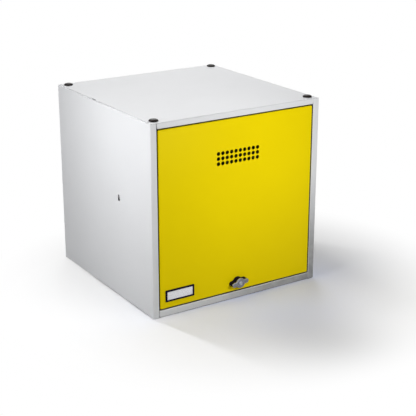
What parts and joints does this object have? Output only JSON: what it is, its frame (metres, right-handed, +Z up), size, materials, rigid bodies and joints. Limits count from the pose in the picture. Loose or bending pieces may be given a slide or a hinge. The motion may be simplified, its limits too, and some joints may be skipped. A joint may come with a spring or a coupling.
{
  "type": "cube locker",
  "caption": "Stackable steel cube locker with a top-hung flap door, perforated vent, label holder and turn-knob cam lock.",
  "frame": {"origin": "centre of the case's base, on the surface that it stands on", "axes": "+X to the right as seen from the front, +Y from the front to the back, +Z up"},
  "size_m": [0.5, 0.5182, 0.5048],
  "materials": {
    "case_paint": "light grey semi-gloss powder coat",
    "door_paint": "signal yellow semi-gloss powder coat",
    "zinc_plate": "bright zinc plate",
    "cast_silver": "satin nickel on a casting",
    "black_plastic": "fine grained moulding",
    "plug_plastic": "fine grained moulding, dusty crown",
    "black_rubber": "matte",
    "clear_plastic": "clear and glossy",
    "white_card": "blank matte card"
  },
  "bodies": {
    "case": {"left_side_panel": "case_paint", "right_side_panel": "case_paint", "top_panel": "case_paint", "bottom_panel": "case_paint", "back_panel": "case_paint", "stacking_plug_front_left": "plug_plastic", "stacking_plug_front_right": "plug_plastic", "stacking_plug_rear_left": "plug_plastic", "stacking_plug_rear_right": "plug_plastic", "hinge_pin_left": "zinc_plate", "hinge_pin_right": "zinc_plate", "door_buffer_left": "black_rubber", "door_buffer_right": "black_rubber", "lock_keeper": "zinc_plate"},
    "door": {"door_panel": "door_paint", "door_stiffener": "door_paint", "hinge_bush_left": "black_plastic", "hinge_bush_right": "black_plastic", "label_holder": "black_plastic", "label_window": "clear_plastic", "label_card": "white_card", "lock_housing": "black_plastic", "lock_washer": "zinc_plate", "lock_nut": "zinc_plate"},
    "knob": {"turn_knob": "cast_silver", "knob_spindle": "zinc_plate", "lock_cam": "zinc_plate", "cam_nut": "zinc_plate"},
    "key": {"key_plug": "zinc_plate"}
  },
  "joints": [
    {"name": "door_swing", "type": "hinge", "parent": "case", "child": "door", "pos_m": [0, -0.243, 0.4697], "axis": [-1, 0, 0], "range_deg": [0, 110]},
    {"name": "knob_turn", "type": "hinge", "parent": "door", "child": "knob", "pos_m": [0, -0.25, 0.047], "axis": [0, 1, 0], "range_deg": [0, 90]},
    {"name": "key_turn", "type": "hinge", "parent": "knob", "child": "key", "pos_m": [0, -0.2682, 0.047], "axis": [0, 1, 0], "range_deg": [0, 90]}
  ]
}
